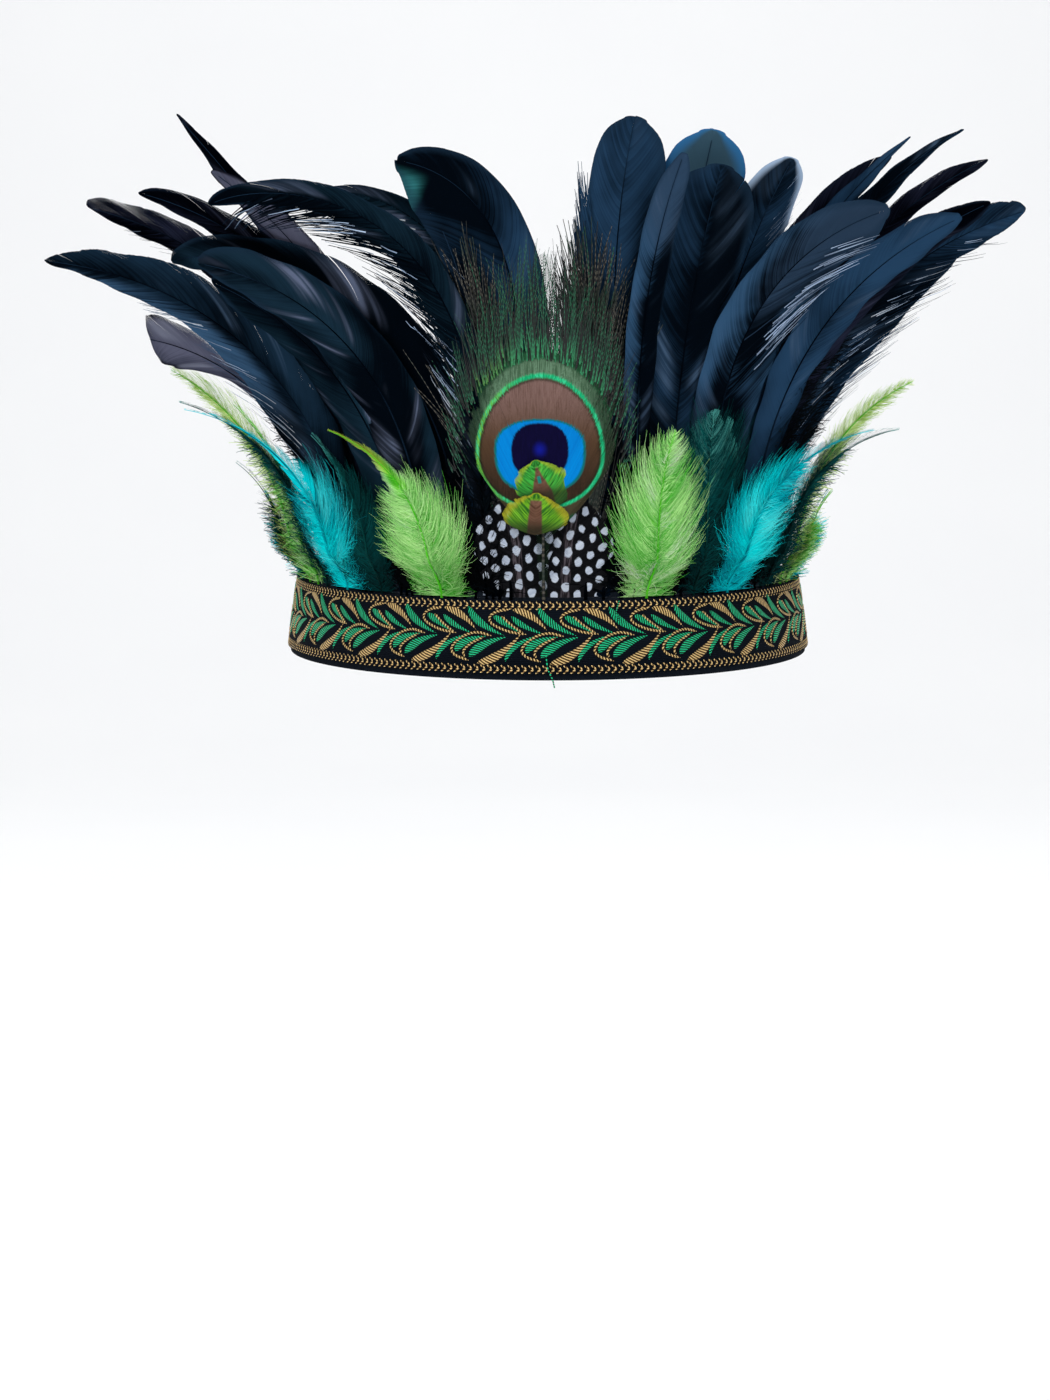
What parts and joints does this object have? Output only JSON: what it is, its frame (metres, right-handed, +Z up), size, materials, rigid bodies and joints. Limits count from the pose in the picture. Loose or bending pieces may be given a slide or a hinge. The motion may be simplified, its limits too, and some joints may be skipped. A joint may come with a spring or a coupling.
{
  "type": "feather headband",
  "caption": "Head band of leaf-vine ribbon on black felt, with a fan of black feathers, a peacock eye feather at the centre and dyed green and turquoise hackles.",
  "frame": {"origin": "centre of the head opening, level with the band's lower edge", "axes": "+X to the wearer's left across the band, +Y from the front to the back, +Z up out of the head opening"},
  "size_m": [0.34, 0.2384, 0.1871],
  "materials": {
    "felt_black": "matt felt",
    "ribbon": "woven jacquard, satin threads",
    "black": "glossy barbs with a blue sheen",
    "grey": "satin barbs",
    "peacock": "iridescent barbs",
    "herl": "iridescent barbs",
    "scale": "iridescent barbs",
    "guinea": "soft barbs with white spots",
    "lime": "soft downy barbs",
    "teal": "soft downy barbs",
    "turquoise": "soft downy barbs"
  },
  "bodies": {
    "root": {"backing_band": "felt_black", "ribbon_band": "ribbon", "goose_left_1": "black", "goose_left_2": "black", "goose_left_3": "black", "goose_left_4": "black", "coque_left_1": "black", "coque_left_2": "black", "coque_left_3": "black", "coque_left_4": "grey", "coque_left_5": "black", "coque_left_6": "black", "coque_left_7": "black", "coque_left_8": "grey", "goose_right_1": "black", "goose_right_2": "black", "goose_right_3": "black", "goose_right_4": "black", "goose_right_5": "black", "goose_right_6": "black", "goose_right_7": "black", "coque_right_1": "black", "coque_right_2": "black", "coque_right_3": "black", "coque_right_4": "black", "coque_right_5": "black", "coque_right_6": "black", "coque_right_7": "black", "under_left_1": "black", "under_left_2": "black", "under_left_3": "black", "under_left_4": "black", "under_right_1": "black", "under_right_2": "black", "under_right_3": "black", "under_right_4": "black", "peacock_eye": "peacock", "herl_left": "herl", "herl_right": "herl", "scale_upper": "scale", "scale_lower": "scale", "guinea_left": "guinea", "guinea_right": "guinea", "lime_left": "lime", "lime_right": "lime", "lime_side_left": "lime", "lime_far_left": "lime", "lime_side_right": "lime", "lime_far_right": "lime", "teal_left": "teal", "teal_right": "teal", "teal_side_left": "teal", "teal_far_left": "teal", "teal_far_right": "teal", "turquoise_left": "turquoise", "turquoise_far_left": "turquoise", "turquoise_right": "turquoise", "turquoise_far_right": "turquoise"}
  },
  "joints": []
}
